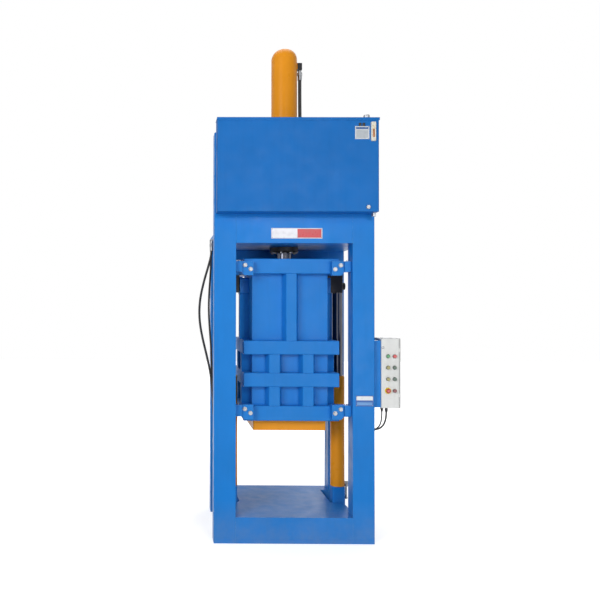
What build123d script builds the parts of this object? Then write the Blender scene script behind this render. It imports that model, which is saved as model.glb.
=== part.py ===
from build123d import *
import math
import os

# Vertical baler with a lifting chamber. Millimetres, +Z up, X to the right seen from the front, Y to the back.
# The origin is on the floor, midway between the four columns.

# Frame
HALF_WINDOW = 400
HALF_DEPTH = 400
COLUMN_DEPTH = 120
FRONT_COLUMN_WIDTH = 150
REAR_COLUMN_WIDTH = 125
FRONT_COLUMN_TOP = 2817
REAR_TOP = 2160
COLUMN_WALL = 8
COLUMN_EDGE = 7
SILL_TOP = 178
HEAD_BEAM_BOTTOM = 2056
HEAD_BEAM_TOP = 2256
REAR_BEAM_BOTTOM = 1985
PORTAL_INNER = HALF_DEPTH - COLUMN_DEPTH

# Base and head box
BASE_HALF_WIDTH = 320
BED_THICK = 30
BED_FRONT_HALF = 430
BED_BACK_HALF = 335
BED_STEP_Y = -60
BED_NOTCH_RADIUS = 40
TIE_INNER = 350
TIE_OUTER = 450
TIE_TOP = 60
HEAD_BOX_HALF = 525
HEAD_BOX_BOTTOM = 2056
PLATE = 12
WEB_X = 140

# Oil tank and what is fixed to it
TANK_HALF_WIDTH = 540
TANK_DEPTH = 130
TANK_TOP = 2883
TANK_WALL = 5
TANK_EDGE = 10
TANK_FRONT = -HALF_DEPTH - TANK_DEPTH
FILLER_X, FILLER_Y, FILLER_NECK = 476, -462, 15.5
DRAIN_X, DRAIN_Y, DRAIN_STEM = 520, -472, 9.5
SIDE_PLUG_X, SIDE_PLUG_Z = 465, 2285
HOLE_PLAY = 0.5
PLATE_THICK = 2
TANK_PLATE = (378, 473), (2740, 2826)
NAME_PLATE = (-159, 191), (2087, 2158.5)
COLUMN_PLATE = (420, 540), (939, 1012)

# Press cylinder and platen
BREAK = 3
BARREL_RADIUS = 95
BORE_RADIUS = 80
BARREL_TOP = 3543
BARREL_DOME = 80
BORE_TOP = 3440
FLANGE_RADIUS, FLANGE_THICK = 150, 40
FLANGE_BOLTS, FLANGE_BOLT_CIRCLE, FLANGE_BOLT = 8, 122, 10
GLAND_BOTTOM, GLAND_RADIUS, GLAND_SPIGOT = 2020, 105, 40
ROD_RADIUS = 55
PISTON_BOTTOM, PISTON_TOP = 2255, 2345
PISTON_SPIGOT = 35
FIT = 0.05
PLATEN_BOTTOM, PLATEN_TOP = 740, 870
PLATEN_HALF_X, PLATEN_HALF_Y = 257, 223
ROD_FLANGE_RADIUS, ROD_FLANGE_THICK = 100, 28

# Chamber
PANEL_HALF_X, PANEL_HALF_Y = 267.5, 235
PANEL = 6
CHAMBER_BOTTOM, CHAMBER_TOP = 818, 1956
RING_HALF_X, RING_HALF_Y = 334, 297
RAIL_WALL = 6
RAIL_EDGE = 7
RAILS = {"bottom": (818, 923), "low": (1055, 1153), "middle": (1282, 1379), "top": (1850, 1956)}
CENTRE_RIB = 73
SHORT_RIB = 75
SHORT_RIB_X = 118
RIB_SPREAD = 20
RIB_WALL = 6
LUG_HALF = 60
BRACKET_INNER, BRACKET_OUTER = 273, 356
BRACKET_FRONT = 346
SHOE_OUTER, SHOE_FRONT = 398, 364
BRACKET_HEIGHTS = ((836, 938), (1836, 1934))

# Lifting cylinders
LIFT_X = 398
LIFT_RADIUS = 52
LIFT_BORE = 42
LIFT_ROD = 37
LIFT_BOTTOM, LIFT_TOP = 289, 1106
LIFT_GLAND, LIFT_FLOOR, LIFT_SLACK = 36, 20, 8
LIFT_PISTON = 45
ROD_END_BOTTOM, ROD_END_TOP = 1722, 1850
ROD_END_INNER, ROD_END_OUTER = 335, 428
PIN_RADIUS, PIN_HEAD, PIN_Z = 18, 27, 1771
FOOT_HALF, FOOT_EDGE = 47, 8
ROD_END_HALF = 44

# Control box, door and buttons
BOX_LEFT, BOX_RIGHT = 600, 737
BOX_BOTTOM, BOX_TOP = 922, 1402
BOX_FRONT, BOX_BACK = -366, -226
BOX_WALL = 3
DOOR_LEFT, DOOR_RIGHT = 602, 722.4
DOOR_FRONT, DOOR_BACK = -378, -366.4
OPENING_RIGHT = 715.4
HINGE_X, HINGE_Y = 728, -372
HINGE_PIN, HINGE_KNUCKLE = 3, 5
HINGE_HEIGHTS = (1000, 1310)
BUTTON_COLUMNS = {"left": 647, "right": 692}
BUTTON_ROWS = {"top": 1280, "upper": 1202, "lower": 1123, "bottom": 1043}
BUTTON_STEM, BUTTON_CAP = 8, 12
STOP_CAP = 15
STEM_END = -352.4

# Drive on the head box
MOTOR_X, MOTOR_Z = -335, 2298
MOTOR_RADIUS, MOTOR_FRONT = 112, -50
PUMP_Z = 2285
PUMP_HALF, PUMP_FRONT = 48, -244
VALVE_X0, VALVE_X1 = 190, 330
VALVE_Y0, VALVE_Y1 = -260, -140
VALVE_TOP = 2310
PORT_X, PORT_HALF, PORT_BOTTOM, PORT_TOP = (85, 131), 22, 3390, 3440

# Hoses and cables: diameter, then the route point by point
ARC_SHARE = 0.45
OUTER_HOSE_DIAMETER = 17
OUTER_HOSE = [
    (-537, 50, 2073), (-537, 50, 2015), (-560, 50, 1925), (-597, 52, 1800), (-626, 54, 1665),
    (-630, 54, 1530), (-610, 52, 1400), (-573, 48, 1250), (-541, 38, 1105), (-529, 26, 950),
    (-521, 8, 790), (-504, -10, 640), (-490, -20, 500), (-490, -20, 385),
]
INNER_HOSE_DIAMETER = 15
INNER_HOSE = [
    (-537, 110, 2073), (-537, 110, 1990), (-541, 108, 1870), (-551, 104, 1735), (-556, 100, 1600),
    (-549, 96, 1460), (-537, 90, 1310), (-532, 82, 1150), (-529, 70, 1000), (-520, 54, 860),
    (-504, 36, 730), (-490, 20, 620), (-490, 20, 530),
]
MAIN_HOSE_DIAMETER = 26
MAIN_HOSE = [
    (117, 0, 3348), (117, 0, 3190), (118, -1, 3020), (122, -5, 2888), (139, -24, 2788),
    (170, -60, 2700), (212, -107, 2622), (255, -155, 2545), (283, -187, 2475), (295, -200, 2405),
    (295, -200, 2342),
]
FRONT_CABLE_DIAMETER = 12
FRONT_CABLE = [
    (651, -330, 904), (651, -330, 866), (645, -330, 830), (631, -330, 798), (609, -330, 778),
    (585, -330, 769), (562, -330, 769),
]
REAR_CABLE_DIAMETER = 9
REAR_CABLE = [
    (630, -300, 904), (630, -300, 874), (628, -300, 842), (623, -300, 811), (611, -300, 785),
    (593, -300, 769), (574, -300, 762), (556, -300, 762),
]
SUPPLY_PIPE_X, SUPPLY_PIPE_Z, SUPPLY_PIPE_RADIUS = 464, 200, 7


def block(x0, x1, y0, y1, z0, z1):
    """A box between two corners."""
    size = (abs(x1 - x0), abs(y1 - y0), abs(z1 - z0))
    return Pos((x0 + x1) / 2, (y0 + y1) / 2, (z0 + z1) / 2) * Box(*size)


def post(x, y, z0, z1, radius):
    """A cylinder standing between two heights."""
    return Pos(x, y, (z0 + z1) / 2) * Cylinder(radius, z1 - z0)


def bar_x(x0, x1, y, z, radius):
    """A cylinder along X."""
    return Pos((x0 + x1) / 2, y, z) * Rot(0, 90, 0) * Cylinder(radius, abs(x1 - x0))


def bar_y(x, y0, y1, z, radius):
    """A cylinder along Y."""
    return Pos(x, (y0 + y1) / 2, z) * Rot(90, 0, 0) * Cylinder(radius, abs(y1 - y0))


def hexagon(radius, height):
    """A hexagonal prism on the XY plane, with its corners at the radius."""
    return extrude(RegularPolygon(radius, 6), height)


def group(shapes):
    """Separate solids kept together as one sub-part."""
    return Compound([solid for shape in shapes for solid in shape.solids()])


def both_sides(shape):
    """A shape and its mirror image across the middle plane."""
    return [shape, mirror(shape, Plane.YZ)]


def front_and_rear(shape):
    """A shape and its mirror image from front to back."""
    return [shape, mirror(shape, Plane.XZ)]


def tube_x(x0, x1, y0, y1, z0, z1, wall, edge=0):
    """A rectangular tube along X, open at both ends."""
    outer = block(x0, x1, y0, y1, z0, z1)
    if edge:
        outer = fillet(outer.edges().filter_by(Axis.X), edge)
    return outer - block(x0 - 1, x1 + 1, y0 + wall, y1 - wall, z0 + wall, z1 - wall)


def column(side, front):
    """A box-section column, closed at the top and open at the floor."""
    width = FRONT_COLUMN_WIDTH if front else REAR_COLUMN_WIDTH
    top = FRONT_COLUMN_TOP if front else REAR_TOP
    y0 = -HALF_DEPTH if front else PORTAL_INNER
    y1 = y0 + COLUMN_DEPTH
    outer = block(HALF_WINDOW, HALF_WINDOW + width, y0, y1, 0, top)
    outer = fillet(outer.edges().filter_by(Axis.Z).sort_by(Axis.X)[-2:], COLUMN_EDGE)
    inner_x = (HALF_WINDOW + COLUMN_WALL, HALF_WINDOW + width - COLUMN_WALL)
    core = block(*inner_x, y0 + COLUMN_WALL, y1 - COLUMN_WALL, -1, top - COLUMN_WALL)
    shape = outer - core
    return shape if side > 0 else mirror(shape, Plane.YZ)


def front_sill():
    return tube_x(-HALF_WINDOW, HALF_WINDOW, -HALF_DEPTH, -PORTAL_INNER, 0, SILL_TOP, COLUMN_WALL)


def rear_sill():
    return tube_x(-HALF_WINDOW, HALF_WINDOW, PORTAL_INNER, HALF_DEPTH, 0, SILL_TOP, COLUMN_WALL)


def front_head_beam():
    heights = (HEAD_BEAM_BOTTOM, HEAD_BEAM_TOP)
    return tube_x(-HALF_WINDOW, HALF_WINDOW, -HALF_DEPTH, -PORTAL_INNER, *heights, COLUMN_WALL)


def rear_head_beam():
    heights = (REAR_BEAM_BOTTOM, REAR_TOP)
    return tube_x(-HALF_WINDOW, HALF_WINDOW, PORTAL_INNER, HALF_DEPTH, *heights, COLUMN_WALL)


def webbed_box(half_width, z0, z1):
    """A plate box from the front portal to the rear one, with two webs inside."""
    shape = block(-half_width, half_width, -PORTAL_INNER, PORTAL_INNER, z0, z1)
    inner = half_width - PLATE
    cells = ((-inner, -WEB_X - PLATE / 2), (-WEB_X + PLATE / 2, WEB_X - PLATE / 2), (WEB_X + PLATE / 2, inner))
    for x0, x1 in cells:
        shape -= block(x0, x1, -PORTAL_INNER - 1, PORTAL_INNER + 1, z0 + PLATE, z1 - PLATE)
    return shape


def base_box():
    return webbed_box(BASE_HALF_WIDTH, 0, SILL_TOP - BED_THICK)


def head_box():
    hole = post(0, 0, HEAD_BOX_BOTTOM - 1, REAR_TOP + 1, BARREL_RADIUS + 1)
    return webbed_box(HEAD_BOX_HALF, HEAD_BOX_BOTTOM, REAR_TOP) - hole


def base_ties():
    tie = block(TIE_INNER, TIE_OUTER, -PORTAL_INNER, PORTAL_INNER, 0, TIE_TOP)
    inner = (TIE_INNER + COLUMN_WALL, TIE_OUTER - COLUMN_WALL)
    tie -= block(*inner, -PORTAL_INNER - 1, PORTAL_INNER + 1, COLUMN_WALL, TIE_TOP - COLUMN_WALL)
    return group(both_sides(tie))


def bed_plate():
    """The bed, wide in front and narrowed behind for the lifting cylinders."""
    front_depth = BED_STEP_Y + PORTAL_INNER
    front = Pos(0, BED_STEP_Y - front_depth / 2) * Rectangle(2 * BED_FRONT_HALF, front_depth)
    back_depth = PORTAL_INNER - BED_STEP_Y
    back = Pos(0, BED_STEP_Y + back_depth / 2) * Rectangle(2 * BED_BACK_HALF, back_depth)
    outline = front + back
    at_step = [vertex for vertex in outline.vertices() if abs(vertex.Y - BED_STEP_Y) < 1]
    inner_corners = [vertex for vertex in at_step if abs(vertex.X) < BED_FRONT_HALF - 1]
    outline = fillet(inner_corners, BED_NOTCH_RADIUS)
    return Pos(0, 0, SILL_TOP - BED_THICK) * extrude(outline, BED_THICK)


def oil_tank():
    """A sheet tank bolted to the front of the columns, with a filler, a drain and a side port."""
    outer = block(-TANK_HALF_WIDTH, TANK_HALF_WIDTH, TANK_FRONT, -HALF_DEPTH, HEAD_BEAM_TOP, TANK_TOP)
    outer = fillet(outer.edges().filter_by(Axis.Z).sort_by(Axis.Y)[:2], TANK_EDGE)
    inner_x = TANK_HALF_WIDTH - TANK_WALL
    core = block(-inner_x, inner_x, TANK_FRONT + TANK_WALL, -HALF_DEPTH - TANK_WALL,
                 HEAD_BEAM_TOP + TANK_WALL, TANK_TOP - TANK_WALL)
    filler = post(FILLER_X, FILLER_Y, TANK_TOP - 2 * TANK_WALL, TANK_TOP + 1, FILLER_NECK + HOLE_PLAY)
    drain = post(DRAIN_X, DRAIN_Y, HEAD_BEAM_TOP - 1, HEAD_BEAM_TOP + 2 * TANK_WALL, DRAIN_STEM + HOLE_PLAY)
    side_y = (TANK_FRONT - 1, TANK_FRONT + 2 * TANK_WALL)
    side = bar_y(SIDE_PLUG_X, *side_y, SIDE_PLUG_Z, DRAIN_STEM + HOLE_PLAY)
    return outer - core - filler - drain - side


def level_gauge():
    """The body of the oil level gauge, recessed for its sight glass."""
    x0, x1, z0, z1 = 483, 515, 2726, 2854
    depth, margin, recess = 15, 8, 6
    corner, rim = 5, 3
    body = block(x0, x1, TANK_FRONT - depth, TANK_FRONT, z0, z1)
    body = fillet(body.edges().filter_by(Axis.Y), corner)
    body = fillet(body.faces().sort_by(Axis.Y)[0].edges(), rim)
    window_z = (z0 + 3 * margin, z1 - 3 * margin)
    window_y = (TANK_FRONT - depth - 1, TANK_FRONT - depth + recess)
    return body - block(x0 + margin, x1 - margin, *window_y, *window_z)


def filler_breather():
    """The breather cap of the tank: a neck, a flange and a rounded cap."""
    neck_reach, flange_radius, flange_thick, cap, cap_height, cap_edge = 13, 25, 6, 21, 33, 8
    cap_bottom = TANK_TOP + flange_thick
    neck = post(FILLER_X, FILLER_Y, TANK_TOP - neck_reach, TANK_TOP, FILLER_NECK)
    flange = post(FILLER_X, FILLER_Y, TANK_TOP, cap_bottom, flange_radius)
    dome = post(FILLER_X, FILLER_Y, cap_bottom, cap_bottom + cap_height, cap)
    dome = fillet(dome.faces().sort_by(Axis.Z)[-1].edges(), cap_edge)
    return neck + flange + dome


def face_plate(across, up, carrier_y):
    """A thin plain plate on a face that looks to the front: its X range, its Z range and the face's Y."""
    return block(*across, carrier_y - PLATE_THICK, carrier_y, *up)


def main_barrel():
    """The press cylinder: a domed barrel with its mounting flange, bored from below."""
    body = post(0, 0, HEAD_BOX_BOTTOM, BARREL_TOP, BARREL_RADIUS)
    body = fillet(body.faces().sort_by(Axis.Z)[-1].edges(), BARREL_DOME)
    flange = post(0, 0, REAR_TOP, REAR_TOP + FLANGE_THICK, FLANGE_RADIUS)
    body += chamfer(flange.faces().sort_by(Axis.Z)[-1].edges(), BREAK)
    body -= post(0, 0, HEAD_BOX_BOTTOM - 1, BORE_TOP, BORE_RADIUS)
    hole = Cylinder(FLANGE_BOLT + HOLE_PLAY, FLANGE_THICK + 2)
    for bolt in PolarLocations(FLANGE_BOLT_CIRCLE, FLANGE_BOLTS):
        body -= Pos(0, 0, REAR_TOP + FLANGE_THICK / 2) * bolt * hole
    return body


def flange_bolts():
    head, head_height = 18, 15
    bolt = Pos(0, 0, FLANGE_THICK) * hexagon(head, head_height) + post(0, 0, 0, FLANGE_THICK, FLANGE_BOLT)
    places = PolarLocations(FLANGE_BOLT_CIRCLE, FLANGE_BOLTS)
    return group([Pos(0, 0, REAR_TOP) * place * bolt for place in places])


def main_gland():
    collar = post(0, 0, GLAND_BOTTOM, HEAD_BOX_BOTTOM, GLAND_RADIUS)
    collar = chamfer(collar.faces().sort_by(Axis.Z)[0].edges(), BREAK + 2)
    spigot = post(0, 0, HEAD_BOX_BOTTOM, HEAD_BOX_BOTTOM + GLAND_SPIGOT, BORE_RADIUS - FIT)
    hole = post(0, 0, GLAND_BOTTOM - 1, HEAD_BOX_BOTTOM + GLAND_SPIGOT + 1, ROD_RADIUS + FIT)
    return collar + spigot - hole


def port_block():
    shape = block(*PORT_X, -PORT_HALF, PORT_HALF, PORT_BOTTOM, PORT_TOP)
    shape = chamfer(shape.edges().filter_by(Axis.Z).sort_by(Axis.X)[-2:], BREAK)
    return shape - post(0, 0, HEAD_BOX_BOTTOM, BARREL_TOP, BARREL_RADIUS)


def electric_motor():
    """A foot-mounted motor lying along Y: ribbed body, end bells, fan cover, terminal box and feet."""
    front, back = MOTOR_FRONT, 210
    bell, bell_lip = 22, 3
    fin, fin_thick, fins = 8, 4, 32
    cover, cover_lip, cover_edge = 78, 6, 22
    foot_half, foot_thick, leg_half, leg_drop = 115, 14, 95, 55
    box_half, box_y, box_sink, box_rise, box_edge = 52, (30, 150), 20, 58, 8
    body = bar_y(MOTOR_X, front, back, MOTOR_Z, MOTOR_RADIUS - fin)
    fin_box = Pos(MOTOR_RADIUS - fin / 2 - 1, 0, 0) * Box(fin + 2, back - front, fin_thick)
    middle = Pos(MOTOR_X, (front + back) / 2, MOTOR_Z)
    body = body + [middle * Rot(0, step * 360 / fins, 0) * fin_box for step in range(fins)]
    body += bar_y(MOTOR_X, front - bell, front, MOTOR_Z, MOTOR_RADIUS + bell_lip)
    body += bar_y(MOTOR_X, back, back + bell, MOTOR_Z, MOTOR_RADIUS + bell_lip)
    hood = bar_y(MOTOR_X, back + bell, back + bell + cover, MOTOR_Z, MOTOR_RADIUS + cover_lip)
    body += fillet(hood.faces().sort_by(Axis.Y)[-1].edges(), cover_edge)
    for y0, y1 in ((-30, 20), (140, 190)):
        foot_top = REAR_TOP + foot_thick
        body += block(MOTOR_X - foot_half, MOTOR_X + foot_half, y0, y1, REAR_TOP, foot_top)
        body += block(MOTOR_X - leg_half, MOTOR_X + leg_half, y0, y1, foot_top, MOTOR_Z - leg_drop)
    crown = MOTOR_Z + MOTOR_RADIUS
    box = block(MOTOR_X - box_half, MOTOR_X + box_half, *box_y, crown - box_sink, crown + box_rise)
    return body + fillet(box.edges().filter_by(Axis.Z), box_edge)


def pump_unit():
    """The gear pump on its bell housing, in line with the motor shaft."""
    flange_radius, flange_thick, bell_radius, bell_back = 104, 16, 74, -156
    below, above = 52, 62
    flange_back = MOTOR_FRONT - 22
    unit = bar_y(MOTOR_X, flange_back - flange_thick, flange_back, MOTOR_Z, flange_radius)
    unit += bar_y(MOTOR_X, bell_back, flange_back - flange_thick, MOTOR_Z, bell_radius)
    pump_x = (MOTOR_X - PUMP_HALF, MOTOR_X + PUMP_HALF)
    return unit + block(*pump_x, PUMP_FRONT, bell_back, PUMP_Z - below, PUMP_Z + above)


def valve_block():
    """The manifold with one directional valve and its two coils."""
    valve_x, valve_half, valve_height = VALVE_X0 + 40, 24, 46
    coil_radius, coil_reach = 20, 30
    shape = block(VALVE_X0, VALVE_X1, VALVE_Y0, VALVE_Y1, REAR_TOP, VALVE_TOP)
    shape = chamfer(shape.edges().filter_by(Axis.Z), BREAK)
    valve_y = (VALVE_Y0 + valve_half, VALVE_Y1 - valve_half)
    shape += block(valve_x - valve_half, valve_x + valve_half, *valve_y, VALVE_TOP, VALVE_TOP + valve_height)
    coil_z = VALVE_TOP + valve_half
    shape += bar_y(valve_x, VALVE_Y0 - coil_reach, valve_y[0], coil_z, coil_radius)
    return shape + bar_y(valve_x, valve_y[1], VALVE_Y1 + coil_reach, coil_z, coil_radius)


def lift_barrel(side):
    """A lifting cylinder's barrel, bored from the top, with its rod gland."""
    body = post(LIFT_X, 0, LIFT_BOTTOM, LIFT_TOP, LIFT_RADIUS)
    body = chamfer(body.faces().sort_by(Axis.Z)[0].edges(), BREAK)
    body = chamfer(body.faces().sort_by(Axis.Z)[-1].edges(), BREAK)
    body -= post(LIFT_X, 0, LIFT_BOTTOM + LIFT_FLOOR, LIFT_TOP - LIFT_GLAND, LIFT_BORE)
    body -= post(LIFT_X, 0, LIFT_TOP - LIFT_GLAND - 1, LIFT_TOP + 1, LIFT_ROD + FIT)
    return body if side > 0 else mirror(body, Plane.YZ)


def lift_feet():
    foot = block(LIFT_X - FOOT_HALF, LIFT_X + FOOT_HALF, -FOOT_HALF, FOOT_HALF, TIE_TOP, LIFT_BOTTOM)
    foot = fillet(foot.edges().filter_by(Axis.Z), FOOT_EDGE)
    return group(both_sides(foot))


def lift_rod(side):
    """A lifting rod with its piston, drawn at the top of its stroke."""
    piston_z = LIFT_TOP - LIFT_GLAND - LIFT_SLACK
    rod = post(LIFT_X, 0, piston_z, ROD_END_BOTTOM, LIFT_ROD)
    rod += post(LIFT_X, 0, piston_z - LIFT_PISTON, piston_z, LIFT_BORE - FIT)
    return rod if side > 0 else mirror(rod, Plane.YZ)


def rod_end_blocks():
    shape = block(ROD_END_INNER, ROD_END_OUTER, -ROD_END_HALF, ROD_END_HALF, ROD_END_BOTTOM, ROD_END_TOP)
    shape = chamfer(shape.edges().filter_by(Axis.Z), BREAK + 2)
    shape -= bar_x(ROD_END_INNER - 1, ROD_END_OUTER + 1, 0, PIN_Z, PIN_RADIUS + FIT)
    return group(both_sides(shape))


def rod_end_pins():
    tip_gap, head_thick = 12, 25
    pin = bar_x(PANEL_HALF_X + tip_gap, ROD_END_OUTER, 0, PIN_Z, PIN_RADIUS)
    head = bar_x(ROD_END_OUTER, ROD_END_OUTER + head_thick, 0, PIN_Z, PIN_HEAD)
    pin += chamfer(head.faces().sort_by(Axis.X)[-1].edges(), BREAK)
    return group(both_sides(pin))


def lift_lugs():
    """The lug on each side of the chamber that a lifting pin passes into."""
    corner, blind = 10, 10
    lug = block(PANEL_HALF_X, RING_HALF_X, -LUG_HALF, LUG_HALF, PIN_Z - LUG_HALF, PIN_Z + LUG_HALF)
    lug = chamfer(lug.edges().filter_by(Axis.X), corner)
    lug -= bar_x(PANEL_HALF_X + blind, RING_HALF_X + 1, 0, PIN_Z, PIN_RADIUS + FIT)
    return group(both_sides(lug))


def chamber_panels():
    """Four plates round the bale chamber."""
    face = block(-PANEL_HALF_X, PANEL_HALF_X, -PANEL_HALF_Y, PANEL - PANEL_HALF_Y, CHAMBER_BOTTOM, CHAMBER_TOP)
    inner_y = PANEL_HALF_Y - PANEL
    flank = block(PANEL_HALF_X - PANEL, PANEL_HALF_X, -inner_y, inner_y, CHAMBER_BOTTOM, CHAMBER_TOP)
    return group(front_and_rear(face) + both_sides(flank))


def chamber_rails():
    """Rings of rectangular tube round the chamber at four heights."""
    bars = []
    for z0, z1 in RAILS.values():
        across = tube_x(-RING_HALF_X, RING_HALF_X, -RING_HALF_Y, -PANEL_HALF_Y, z0, z1, RAIL_WALL, RAIL_EDGE)
        bars += front_and_rear(across)
        side = block(PANEL_HALF_X, RING_HALF_X, -PANEL_HALF_Y, PANEL_HALF_Y, z0, z1)
        side = fillet(side.edges().filter_by(Axis.Y), RAIL_EDGE)
        inner = (PANEL_HALF_X + RAIL_WALL, RING_HALF_X - RAIL_WALL)
        side -= block(*inner, -RING_HALF_Y, RING_HALF_Y, z0 + RAIL_WALL, z1 - RAIL_WALL)
        bars += both_sides(side)
    return group(bars)


def stiffener(width, depth, height):
    """A folded plate rib, standing on its open foot, which is wider than its face. It points towards -Y."""
    def outline(face, foot, reach):
        return Polygon((-foot, 0), (-face, -reach), (face, -reach), (foot, 0), align=None)

    face, foot = width / 2, width / 2 + RIB_SPREAD
    rib = extrude(outline(face, foot, depth), height)
    rib = fillet(rib.edges().filter_by(Axis.Z).sort_by(Axis.Y)[:2], RAIL_EDGE)
    return rib - extrude(outline(face - RIB_WALL, foot - RIB_WALL, depth - RIB_WALL), height)


def chamber_ribs():
    """Upright ribs between the rails, on all four sides."""
    centre = (RAILS["middle"][1], RAILS["top"][0])
    short = ((RAILS["bottom"][1], RAILS["low"][0]), (RAILS["low"][1], RAILS["middle"][0]))

    def front_rib(x, width, z0, z1):
        return Pos(x, -PANEL_HALF_Y, z0) * stiffener(width, RING_HALF_Y - PANEL_HALF_Y, z1 - z0)

    def side_rib(y, width, z0, z1):
        return Pos(PANEL_HALF_X, y, z0) * Rot(0, 0, 90) * stiffener(width, RING_HALF_X - PANEL_HALF_X, z1 - z0)

    ribs = front_and_rear(front_rib(0, CENTRE_RIB, *centre))
    ribs += both_sides(side_rib(0, CENTRE_RIB, centre[0], PIN_Z - LUG_HALF))
    for z0, z1 in short:
        for sign in (-1, 1):
            ribs += front_and_rear(front_rib(sign * SHORT_RIB_X, SHORT_RIB, z0, z1))
            ribs += both_sides(side_rib(sign * SHORT_RIB_X, SHORT_RIB, z0, z1))
    return group(ribs)


def at_corners(shape):
    """A shape at the front right, repeated at the other three corners."""
    return [copy for half in both_sides(shape) for copy in front_and_rear(half)]


def guide_brackets():
    """A bolted plate at the ends of the top and bottom rails, front and rear."""
    cut_corner = 22
    plates = []
    for z0, z1 in BRACKET_HEIGHTS:
        plate = block(BRACKET_INNER, BRACKET_OUTER, -BRACKET_FRONT, -RING_HALF_Y, z0, z1)
        lower = plate.edges().filter_by(Axis.Y).sort_by(Axis.Z)[:2].sort_by(Axis.X)[-1]
        plates += at_corners(chamfer(lower, cut_corner))
    return group(plates)


def guide_shoes():
    """Blocks that slide along the inner faces of the columns."""
    lift, lead, back_gap = 24, 5, 5
    shoes = []
    for z0, z1 in BRACKET_HEIGHTS:
        shoe = block(BRACKET_OUTER, SHOE_OUTER, -SHOE_FRONT, -RING_HALF_Y - back_gap, z0 + lift, z1)
        shoe = chamfer(shoe.edges().filter_by(Axis.Y).sort_by(Axis.X)[-2:], lead)
        shoes += at_corners(shoe)
    return group(shoes)


def guide_bolts():
    """Two hexagon heads with washers on each guide bracket."""
    washer, washer_thick, head, head_height = 15, 3, 13, 10
    inset_low, inset_high, drop, rise = 20, 24, 6, 22
    flat = Rot(90, 0, 0)
    bolt = post(0, 0, 0, washer_thick, washer) + Pos(0, 0, washer_thick) * hexagon(head, head_height)
    bolts = []
    for z0, z1 in BRACKET_HEIGHTS:
        middle = (z0 + z1) / 2
        for x, z in ((BRACKET_INNER + inset_low, middle - drop), (BRACKET_OUTER - inset_high, middle + rise)):
            bolts += at_corners(Pos(x, -BRACKET_FRONT, z) * flat * bolt)
    return group(bolts)


def ram_rod():
    """The press rod, with the flange that bolts to the platen and the spigot that carries the piston."""
    bolts, bolt_inset, head, head_height = 6, 20, 13, 10
    rod = post(0, 0, PLATEN_TOP, PISTON_BOTTOM, ROD_RADIUS)
    flange = post(0, 0, PLATEN_TOP, PLATEN_TOP + ROD_FLANGE_THICK, ROD_FLANGE_RADIUS)
    rod += chamfer(flange.faces().sort_by(Axis.Z)[-1].edges(), BREAK)
    for bolt in PolarLocations(ROD_FLANGE_RADIUS - bolt_inset, bolts):
        rod += Pos(0, 0, PLATEN_TOP + ROD_FLANGE_THICK) * bolt * hexagon(head, head_height)
    return rod + post(0, 0, PISTON_BOTTOM, PISTON_TOP, PISTON_SPIGOT)


def main_piston():
    piston = post(0, 0, PISTON_BOTTOM, PISTON_TOP, BORE_RADIUS - FIT)
    piston = chamfer(piston.edges().filter_by(GeomType.CIRCLE), BREAK)
    return piston - post(0, 0, PISTON_BOTTOM - 1, PISTON_TOP + 1, PISTON_SPIGOT + FIT)


def platen():
    """The press plate: a thick sole with a rim, cross ribs and a boss for the rod."""
    sole, rim, rib, boss, corner = 35, 14, 14, 112, 6
    body = block(-PLATEN_HALF_X, PLATEN_HALF_X, -PLATEN_HALF_Y, PLATEN_HALF_Y, PLATEN_BOTTOM, PLATEN_TOP)
    body = fillet(body.edges().filter_by(Axis.Z), corner)
    inner_x, inner_y = PLATEN_HALF_X - rim, PLATEN_HALF_Y - rim
    body -= block(-inner_x, inner_x, -inner_y, inner_y, PLATEN_BOTTOM + sole, PLATEN_TOP + 1)
    heights = (PLATEN_BOTTOM + sole, PLATEN_TOP)
    body += block(-inner_x, inner_x, -rib / 2, rib / 2, *heights)
    body += block(-rib / 2, rib / 2, -inner_y, inner_y, *heights)
    return body + post(0, 0, *heights, boss)


def control_bracket():
    """A channel welded to the right column, open at the back, that carries the control box."""
    x0, x1 = HALF_WINDOW + FRONT_COLUMN_WIDTH, BOX_LEFT
    front, back, bottom, top, wall = -370, -296, 928, 1387, 6
    shape = block(x0, x1, front, back, bottom, top)
    return shape - block(x0 + wall, x1 - wall, front + wall, back + 1, bottom + wall, top - wall)


def control_box():
    """The switch cabinet: a sheet box with a turned-in front lip and two lift-off hinge pins."""
    lip, corner, lug_half, lug_height, pin_height = 12, 5, 4, 20, 18
    inner_z = (BOX_BOTTOM + BOX_WALL, BOX_TOP - BOX_WALL)
    body = block(BOX_LEFT, BOX_RIGHT, BOX_FRONT, BOX_BACK, BOX_BOTTOM, BOX_TOP)
    body = fillet(body.edges().filter_by(Axis.Y), corner)
    inner_x = (BOX_LEFT + BOX_WALL, BOX_RIGHT - BOX_WALL)
    body -= block(*inner_x, BOX_FRONT + BOX_WALL, BOX_BACK - BOX_WALL, *inner_z)
    body -= block(BOX_LEFT + BOX_WALL + lip, OPENING_RIGHT, BOX_FRONT - 1, BOX_FRONT + BOX_WALL + 1,
                  inner_z[0] + lip, inner_z[1] - lip)
    for z in HINGE_HEIGHTS:
        lug = block(HINGE_X - lug_half, HINGE_X + lug_half, HINGE_Y, BOX_FRONT, z - lug_height, z)
        lug += post(HINGE_X, HINGE_Y, z - lug_height, z, HINGE_KNUCKLE)
        body += lug + post(HINGE_X, HINGE_Y, z, z + pin_height, HINGE_PIN)
    return body


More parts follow.
